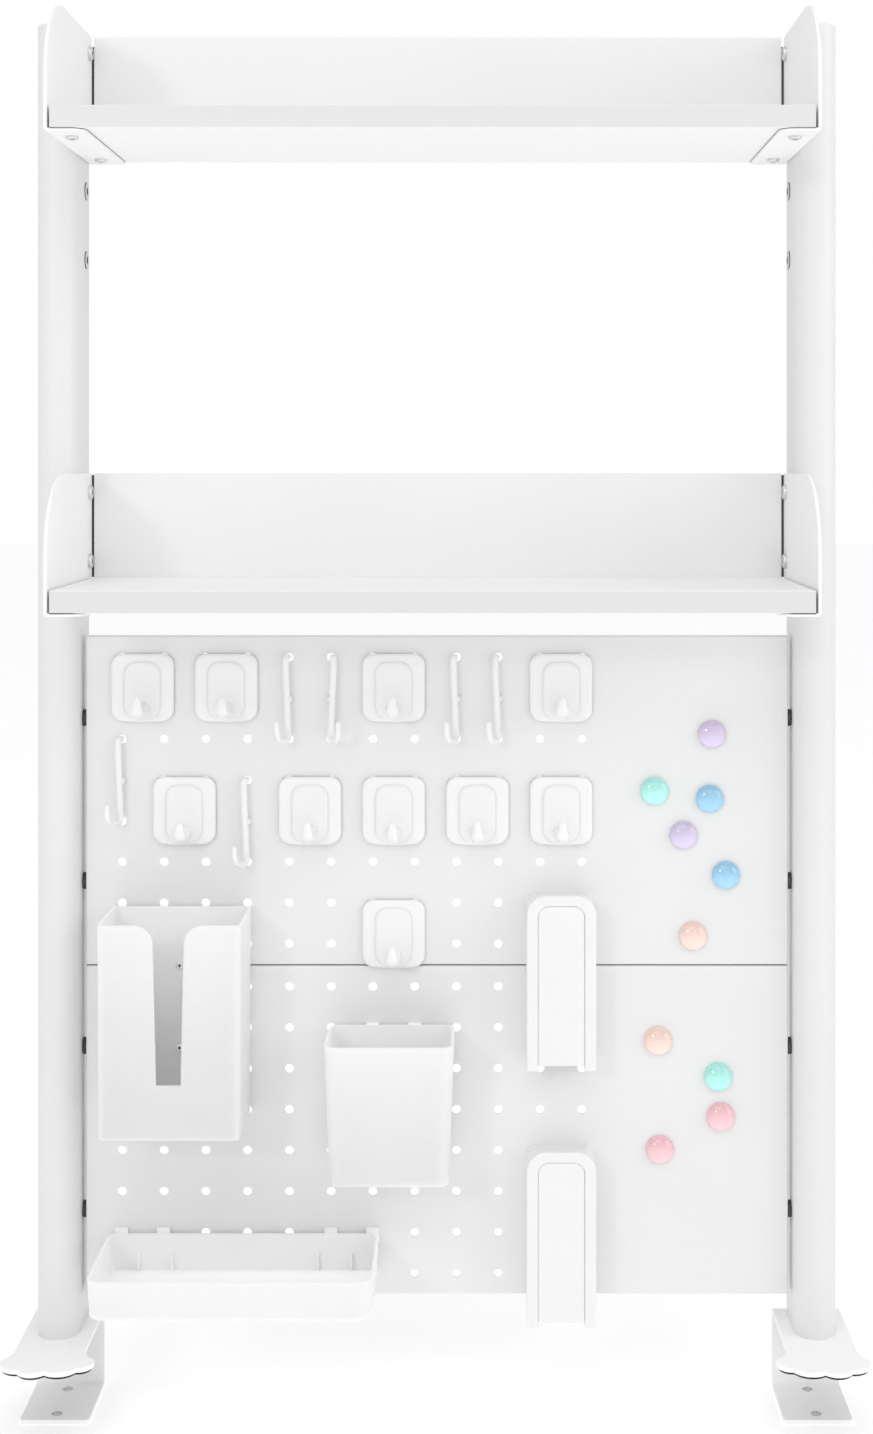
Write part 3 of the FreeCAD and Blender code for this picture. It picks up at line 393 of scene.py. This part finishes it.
def rounded_outline(half_width, low, high, radius, bow=0.0, arc_steps=7, side_steps=8):
    """Upright rounded rectangle of (x, z) points about x = 0, whose lower edge bows down."""
    corners = (
        (half_width - radius, high - radius, 0),
        (-half_width + radius, high - radius, 90),
        (-half_width + radius, low + radius, 180),
        (half_width - radius, low + radius, 270),
    )
    points = []
    for x, z, start in corners:
        for i in range(arc_steps + 1):
            angle = math.radians(start + 90 * i / arc_steps)
            points.append((x + radius * math.cos(angle), z + radius * math.sin(angle)))
    filled = []
    for i, (x, z) in enumerate(points):
        filled.append((x, z))
        next_x, next_z = points[(i + 1) % len(points)]
        if i % (arc_steps + 1) == arc_steps:
            for j in range(1, side_steps):
                share = j / side_steps
                filled.append((x + (next_x - x) * share, z + (next_z - z) * share))
    middle = (low + high) / 2
    bowed = []
    for x, z in filled:
        depth = max(0.0, (middle - z) / (middle - low))
        bowed.append((x, z - bow * depth**4 * (1 - (x / half_width) ** 2)))
    return bowed


def add_lathe(bm, centre, axis, profile, around=32):
    """Turned shape from (radius, distance along the axis) pairs in millimetres."""
    side = axis.orthogonal().normalized()
    other = axis.cross(side)
    rings = []
    for radius, along in profile:
        ring = []
        for i in range(around):
            angle = math.tau * i / around
            turn = side * math.cos(angle) + other * math.sin(angle)
            ring.append(centre + axis * (along * MM) + turn * (radius * MM))
        rings.append(ring)
    add_shell(bm, rings)


def add_tube(bm, centre, axis, inner, outer, span, around=40):
    """Short ring with slightly rounded edges."""
    side = axis.orthogonal().normalized()
    other = axis.cross(side)
    low, high = span
    soft = min(0.2, (high - low) / 3, (outer - inner) / 3)
    section = (
        (inner, low),
        (outer - soft, low),
        (outer, low + soft),
        (outer, high - soft),
        (outer - soft, high),
        (inner + soft, high),
        (inner, high - soft),
    )
    rings = []
    for i in range(around):
        angle = math.tau * i / around
        turn = side * math.cos(angle) + other * math.sin(angle)
        rings.append([centre + turn * (radius * MM) + axis * (along * MM) for radius, along in section])
    add_shell(bm, rings, closed=True)


def add_strip(bm, low, high):
    """Square-cut strip with a small chamfer along its length, between two corners in metres."""
    soft = min(high.x - low.x, high.y - low.y) / 4
    outline = (
        (low.x + soft, low.y),
        (high.x - soft, low.y),
        (high.x, low.y + soft),
        (high.x, high.y - soft),
        (high.x - soft, high.y),
        (low.x + soft, high.y),
        (low.x, high.y - soft),
        (low.x, low.y + soft),
    )
    add_shell(bm, [[Vector((x, y, z)) for x, y in outline] for z in (low.z, high.z)])


# Moulded parts with softened edges


def soft_copy(name, width, grow=0.0, angle=35):
    """Copy of a CAD node with every real edge rounded a little, and its sides and top grown."""
    bm = bmesh.new()
    bm.from_mesh(nodes[name].data)
    bmesh.ops.remove_doubles(bm, verts=bm.verts, dist=0.002 * MM)
    if grow:
        low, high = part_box(name)
        middle = (low.x + high.x) / 2
        wider = 1 + 2 * grow * MM / (high.x - low.x)
        taller = 1 + grow * MM / (high.z - low.z)
        for vert in bm.verts:
            vert.co.x = middle + (vert.co.x - middle) * wider
            vert.co.z = low.z + (vert.co.z - low.z) * taller
    bmesh.ops.dissolve_limit(bm, angle_limit=math.radians(0.4), verts=bm.verts, edges=bm.edges)
    edges = [edge for edge in bm.edges if edge.calc_face_angle(0) > math.radians(angle)]
    bmesh.ops.bevel(
        bm, geom=edges, offset=width * MM, segments=2, profile=0.5, affect="EDGES", clamp_overlap=True
    )
    bmesh.ops.triangulate(bm, faces=bm.faces)
    return piece_from(name + "_shell", bm, node_slots[name], body_of_node[name], (name,))


# Square plug-in hooks

# Sizes in millimetres. The rims are rows of inset from the outline and share of the full height.
HOOK_COUNT = 10
HOOK_HALF = 22.5
HOOK_PROUD = 4.5  # front of the plate, in front of the panel
HOOK_CORNER = 8.0
HOOK_RIM = ((0.0, 0.0), (0.0, 0.45), (0.25, 0.68), (0.7, 0.86), (1.5, 0.965), (2.6, 1.0))
HOOK_SOCKET_X = 15
HOOK_SOCKET_DROP = 17.45
SOCKET_PROFILE = ((2.9, -1.0), (2.9, 2.6), (2.5, 3.6), (1.6, 4.0))
TONGUE_HALF = 12.3
TONGUE_RIM = ((-1.6, -0.2), (-0.9, 0.0), (-0.3, 0.35), (0.3, 0.75), (1.1, 0.95), (2.2, 1.0))
TONGUE_LIFT = 1.0
TIP_RISE = 11.0  # root of the tip above the plate's foot


def square_hook(number):
    """Plate with a soft rim, a raised tongue, and a tapered tip that reaches out and turns up."""
    node = f"square_hook_{number}"
    low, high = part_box(node)
    middle = (low.x + high.x) / 2 / MM
    foot = low.z / MM
    head = high.z / MM
    panel = panel_front / MM
    front = panel - HOOK_PROUD
    bm = bmesh.new()
    rings = []
    for inset, rise in HOOK_RIM:
        corner = HOOK_CORNER - inset * 0.6
        outline = rounded_outline(HOOK_HALF - inset, foot + 1.5 + inset, head - inset, corner, 1.5)
        rings.append([Vector((middle + x, panel - HOOK_PROUD * rise, z)) * MM for x, z in outline])
    add_shell(bm, rings)
    rings = []
    for inset, rise in TONGUE_RIM:
        corner = HOOK_CORNER - inset * 0.8
        outline = rounded_outline(TONGUE_HALF - inset, foot + 3.2, head - 6.4 - inset, corner, 1.2)
        y = front - TONGUE_LIFT * rise
        rings.append([Vector((middle + x, y, z)) * MM for x, z in outline])
    add_shell(bm, rings)
    root = foot + TIP_RISE
    tip = [
        (middle, front + 1.0, root, 5.8, 4.4),
        (middle, front - 4.0, root - 1.6, 5.5, 3.7),
        (middle, front - 19.0, root - 2.6, 4.8, 3.0),
        (middle, front - 22.4, root - 0.6, 4.3, 2.9),
        (middle, front - 22.9, root + 4.6, 3.3, 2.5),
        (middle, front - 22.4, root + 8.0, 2.6, 2.1),
    ]
    add_bar(bm, cut_corners(tip))
    for sign in (-1, 1):
        socket = Vector((middle + sign * HOOK_SOCKET_X, panel, head - HOOK_SOCKET_DROP)) * MM
        add_lathe(bm, socket, BACKWARD, SOCKET_PROFILE)
    piece_from(node + "_body", bm, "hook_plastic", "wall", (node,))


# Wire pegs

PEG_SIDES = (-1, 1, -1, -1, -1, -1)  # which way each tip leans
PEG_SPAN = 58.8
PEG_R = 2.3
PEG_REACH = 5.4  # middle of the bar, in front of the panel
STUD_R = 2.6


def wire_peg(number, side):
    """Bar from its elbow in a hole, down to a tip that curves out and up, with a stud half-way."""
    node = f"j_peg_{number}"
    low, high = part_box(node)
    column = (high.x if side < 0 else low.x) / MM + side * STUD_R
    top = high.z / MM - PEG_R
    bottom = top - PEG_SPAN
    panel = panel_front / MM
    wire_y = panel - PEG_REACH
    rows = [
        (column + side * 1.1, panel + 3.8, top, 1.8, 1.8),
        (column + side * 1.1, panel - 1.5, top, 2.0, 2.1),
        (column + side * 2.0, wire_y, top + 0.2, 2.3, 2.3),
        (column + side * 2.2, wire_y, top - 6, 2.4, 2.4),
        (column + side * 1.2, wire_y, top - 30, 2.3, 2.3),
        (column + side * 0.3, wire_y, bottom + 8, 2.3, 2.3),
        (column + side * 0.4, wire_y - 0.6, bottom - 0.2, 2.3, 2.3),
        (column + side * 4.6, wire_y - 12, bottom + 0.6, 2.2, 2.2),
        (column + side * 6.5, wire_y - 16.8, bottom + 4.2, 2.1, 2.1),
        (column + side * 6.8, wire_y - 17.4, bottom + 13.6, 1.8, 1.8),
    ]
    bm = bmesh.new()
    add_bar(bm, cut_corners(rows), around=16)
    stud = Vector((column, wire_y, bottom + PEG_SPAN / 2)) * MM
    flange = ((STUD_R, 4.4), (3.3, 4.6), (3.3, 5.3), (STUD_R, PEG_REACH))
    add_lathe(bm, stud, BACKWARD, ((1.8, -0.6), (STUD_R, 0.4), *flange, (2.5, 9.0)))
    piece_from(node + "_body", bm, "peg_plastic", "wall", (node,))


# Small fittings, and pieces of painted shade. Sizes in millimetres.

BOX_HOLE_X = 48.2  # from the left side of the box
BOX_HOLE_DROPS = (42.1, 100.9)  # from its top
BOX_BACK_FACE = 4.4  # inner face of the back wall, in front of the panel
SCREW_PROFILE = ((2.1, -1.5), (2.1, -0.1), (3.0, 0.0), (2.8, 0.6), (1.9, 1.1))
CROSS_LONG = 3.0
CROSS_SHORT = 0.8
CROSS_DEPTHS = (-0.9, -1.16)
BUSH = (3.2, 4.0, (-1.4, 1.6))  # inner radius, outer radius, span along the axis
# Dark rings of painted shade: one under and round each insert flange, one lining its bore.
SHADOW_RING = (5.4, 6.6, (0.0, 0.3))
BORE_SHADOW = (2.2, 3.0, (-4.0, 0.2))
INSERT_FLANGE = (3.0, 6.2, (0.3, 0.9))
MAGNET_COUNT = 10
MAGNET_FOOT = 1.0  # height of the foot under the dome
DOME_STEPS = 22
GAP_STRIP_DROPS = (("upper", 7.0), ("middle", 1.2))  # top of each strip below the back stop's top
GAP_STRIP_CLEARANCE = 0.05
BRACKET_STEEL = 2.0
# Dark strips of painted shadow in the gap between each shelf board and its bracket flanges.
SHADOW_STRIP_THICKNESS = 0.45
SHADOW_STRIP_WIDTH = 1.0
SHADOW_STRIP_PROUD = 0.12
SHADOW_STRIP_START = 3.6  # from the outer side of the bracket
SHADOW_STRIP_BACK = 1.0  # short of the bracket's back edge
FLANGE_CORNER = 9.0
FLANGE_STEPS = 6


def box_hole_places(low, high):
    """Centres of the two holes, on the inner face of the back wall."""
    x = low.x + BOX_HOLE_X * MM
    y = panel_front - BOX_BACK_FACE * MM
    return [Vector((x, y, high.z - drop * MM)) for drop in BOX_HOLE_DROPS]


def box_screws():
    """Two cross-head screws in the back wall of the tissue box, each with a dark cross as painted shade
    in its recess.
    """
    low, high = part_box("tissue_box")
    bm = bmesh.new()
    for place in box_hole_places(low, high):
        add_lathe(bm, place, FORWARD, SCREW_PROFILE)
    piece_from("tissue_box_screws", bm, "plated_steel", "tissue_box")
    # Dark crosses set into the heads: painted shade of the cross recesses.
    bm = bmesh.new()
    for place in box_hole_places(low, high):
        for width, height in ((CROSS_LONG, CROSS_SHORT), (CROSS_SHORT, CROSS_LONG)):
            corner = Vector((width, 0, height)) * (MM / 2)
            outline = [(-1, -1), (1, -1), (1, 1), (-1, 1)]
            rings = []
            for depth in CROSS_DEPTHS:
                level = Vector((0, depth * MM, 0))
                ring = [place + level + Vector((corner.x * u, 0, corner.z * v)) for u, v in outline]
                rings.append(ring)
            add_shell(bm, rings)
    piece_from("tissue_box_screw_recess_shade", bm, "dark_plastic", "tissue_box")


def hole_sleeves():
    """Zinc bushes in the jaw holes, and flanged inserts in the spare post holes, with dark rings as
    painted shade in their bores and round their flanges.
    """
    bushes = bmesh.new()
    flanges = bmesh.new()
    bore_and_ring_shade = bmesh.new()
    for mount in record["mounts"]:
        centre = Vector(mount["pos_m"])
        if mount["name"].startswith("jaw_holes"):
            reach = mount["dims"]["spacing_y_mm"] / 2 * MM
            for sign in (-1, 1):
                add_tube(bushes, centre + Vector((0, sign * reach, 0)), UPWARD, *BUSH)
        if mount["name"].startswith("post_holes"):
            inward = Vector(mount["axis"])
            reach = mount["dims"]["spacing_y_mm"] / 2 * MM
            for sign in (-1, 1):
                face = Vector((post_flank * -inward.x, centre.y, centre.z + sign * reach))
                # Painted shade: a dark ring round the flange and a dark lining in the bore.
                add_tube(bore_and_ring_shade, face, inward, *SHADOW_RING)
                add_tube(bore_and_ring_shade, face, inward, *BORE_SHADOW)
                add_tube(flanges, face, inward, *INSERT_FLANGE)
    piece_from("jaw_hole_bushes", bushes, "plated_steel", "wall")
    piece_from("spare_insert_flanges", flanges, "plated_steel", "wall")
    piece_from("spare_insert_painted_shade", bore_and_ring_shade, "dark_plastic", "wall")


def magnet_dome(number):
    """Turned dome with a small rounded foot, in place of the plain one."""
    node = f"magnet_{number}"
    low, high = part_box(node)
    radius = (high.x - low.x) / 2 / MM
    height = (high.y - low.y) / MM
    rise = height - MAGNET_FOOT
    profile = [(radius - 0.4, 0.0), (radius - 0.08, 0.25)]
    for i in range(DOME_STEPS + 1):
        angle = math.radians(88) * i / DOME_STEPS
        profile.append((radius * math.cos(angle), MAGNET_FOOT + rise * math.sin(angle)))
    bm = bmesh.new()
    centre = Vector(((low.x + high.x) / 2, high.y, (low.z + high.z) / 2))
    add_lathe(bm, centre, FORWARD, profile, around=48)
    piece_from(node + "_dome", bm, node_slots[node], body_of_node[node], (node,))


def shelf_gap_strips():
    """Black strips that fill the gap between each back stop and the brackets beside it."""
    bm = bmesh.new()
    for level, drop in GAP_STRIP_DROPS:
        stop_low, stop_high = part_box(f"back_stop_{level}")
        board_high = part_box(f"shelf_board_{level}")[1]
        bracket_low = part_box(f"shelf_bracket_{level}_left")[0]
        inner = bracket_low.x + BRACKET_STEEL * MM
        for side in (1, -1):
            gap = (inner + GAP_STRIP_CLEARANCE * MM, stop_low.x - GAP_STRIP_CLEARANCE * MM)
            ends = sorted(side * x for x in gap)
            low = Vector((ends[0], stop_low.y + 0.3 * MM, board_high.z + 0.2 * MM))
            high = Vector((ends[1], stop_high.y - 0.2 * MM, stop_high.z - drop * MM))
            add_strip(bm, low, high)
    piece_from("back_stop_gap_strips", bm, "dark_plastic", "wall")


def shadow_strip_path(low, high, inward):
    """Plan of a painted shadow strip: along the bracket's front, round the flange's corner, and to the
    back.
    """
    inner = high.x if inward > 0 else low.x
    outer = low.x if inward > 0 else high.x
    proud = SHADOW_STRIP_PROUD * MM
    radius = FLANGE_CORNER * MM
    side = inner + inward * proud
    bend = side - inward * radius
    front = low.y - proud
    path = [(outer + inward * SHADOW_STRIP_START * MM, front), (bend, front)]
    for i in range(1, FLANGE_STEPS + 1):
        angle = math.radians(90 * i / FLANGE_STEPS)
        path.append((bend + inward * radius * math.sin(angle), front + radius * (1 - math.cos(angle))))
    path.append((side, high.y - SHADOW_STRIP_BACK * MM))
    return path


def flange_shadow_strips():
    """Thin dark strips between the shelf boards and the bracket flanges under them: painted shadow of the
    gap between them.
    """
    bm = bmesh.new()
    lift = Vector((0, 0, SHADOW_STRIP_THICKNESS * MM))
    for level in ("upper", "middle"):
        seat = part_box(f"shelf_board_{level}")[0].z
        for side, inward in (("left", 1), ("right", -1)):
            path = shadow_strip_path(*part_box(f"shelf_bracket_{level}_{side}"), inward)
            rings = []
            for i, (x, y) in enumerate(path):
                ahead = path[min(i + 1, len(path) - 1)]
                behind = path[max(i - 1, 0)]
                along = Vector((ahead[0] - behind[0], ahead[1] - behind[1], 0)).normalized()
                inside = Vector((-along.y, along.x, 0)) * inward * SHADOW_STRIP_WIDTH * MM
                base = Vector((x, y, seat)) - lift
                rings.append([base, base + lift, base + lift + inside, base + inside])
            add_shell(bm, rings)
    piece_from("flange_shadow_strips", bm, "dark_plastic", "wall")


# The pieces

FLAP_GROWTH = 0.27  # closes the seam between flap and frame a little
SOFT_EDGES = (
    ("tissue_box", 0.5, 0),
    ("pencil_cup", 0.6, 0),
    ("tray", 0.6, 0),
    ("rest_frame_upper", 0.5, 0),
    ("rest_frame_lower", 0.5, 0),
    ("rest_flap_upper", 0.7, FLAP_GROWTH),
    ("rest_flap_lower", 0.7, FLAP_GROWTH),
)

for number in range(1, HOOK_COUNT + 1):
    square_hook(number)
for number, side in enumerate(PEG_SIDES, 1):
    wire_peg(number, side)
for name, width, grow in SOFT_EDGES:
    soft_copy(name, width, grow)
for number in range(1, MAGNET_COUNT + 1):
    magnet_dome(number)
box_screws()
hole_sleeves()
shelf_gap_strips()
flange_shadow_strips()


# Stage

FLOOR_DROP = 0.2 * MM
FLOOR_SIZE = 30.0
FLOOR_GLOW = 0.26
WORLD_LIGHT = 0.77
BACKGROUND = 1.0
LENS = 50
SENSOR = 36
SHIFT_X = -0.0324
SHIFT_Y = -0.1785
EYE = (0.033, -1.440, 0.6275)


def floor():
    """Plain pale floor just under the clamps, with a little light of its own."""
    level = cad_low.z - FLOOR_DROP
    mesh = bpy.data.meshes.new("floor")
    half = FLOOR_SIZE / 2
    corners = [(-half, -half, level), (half, -half, level), (half, half, level), (-half, half, level)]
    mesh.from_pydata(corners, [], [(0, 1, 2, 3)])
    piece = bpy.data.objects.new("floor", mesh)
    bpy.context.scene.collection.objects.link(piece)
    g = Graph("floor")
    g.link(g.spread(g.noise(3, 2), 0.90, 0.92), g.shader.inputs["Base Color"])
    g.set(Roughness=0.9, Emission_Color=(1, 1, 1, 1), Emission_Strength=FLOOR_GLOW)
    mesh.materials.append(g.material)


def softbox(name, place, target, size, power):
    """Rectangular lamp, aimed at a target and hidden from the camera."""
    light = bpy.data.lights.new(name, "AREA")
    light.shape = "RECTANGLE"
    light.size, light.size_y = size
    light.energy = power
    lamp = bpy.data.objects.new(name, light)
    lamp.location = place
    lamp.rotation_euler = (Vector(target) - Vector(place)).to_track_quat("-Z", "Y").to_euler()
    lamp.visible_camera = False
    bpy.context.scene.collection.objects.link(lamp)


def surroundings(light_strength, seen_strength):
    """Even white light from all round, with a plain white background behind the object."""
    world = bpy.data.worlds.new("surroundings")
    world.use_nodes = True
    tree = world.node_tree
    tree.nodes.clear()
    output = tree.nodes.new("ShaderNodeOutputWorld")
    path = tree.nodes.new("ShaderNodeLightPath")
    mix = tree.nodes.new("ShaderNodeMixShader")
    for slot_number, strength in ((1, light_strength), (2, seen_strength)):
        background = tree.nodes.new("ShaderNodeBackground")
        background.inputs["Color"].default_value = (1, 1, 1, 1)
        background.inputs["Strength"].default_value = strength
        tree.links.new(background.outputs[0], mix.inputs[slot_number])
    tree.links.new(path.outputs["Is Camera Ray"], mix.inputs[0])
    tree.links.new(mix.outputs[0], output.inputs["Surface"])
    bpy.context.scene.world = world


def camera():
    """Straight-on view from a little right of the middle, framed upright and low."""
    lens = bpy.data.cameras.new("camera")
    lens.lens = LENS
    lens.sensor_width = SENSOR
    lens.shift_x = SHIFT_X
    lens.shift_y = SHIFT_Y
    lens.clip_end = 60
    eye = bpy.data.objects.new("camera", lens)
    eye.location = EYE
    eye.rotation_euler = (math.radians(90), 0, 0)
    bpy.context.scene.collection.objects.link(eye)
    bpy.context.scene.camera = eye


floor()
surroundings(WORLD_LIGHT, BACKGROUND)
softbox("overhead", (-0.3, -1.9, 2.5), (0, -0.05, 0.3), (2.6, 1.6), 13)
softbox("right", (2.6, -1.2, 1.4), (0, 0, 0.45), (2.0, 2.0), 16)
softbox("key", (-1.3, -2.5, 1.4), (0.1, 0, 0.35), (0.35, 0.35), 7)
camera()
bpy.context.scene.view_settings.view_transform = "Standard"
bpy.context.scene.cycles.diffuse_bounces = 8
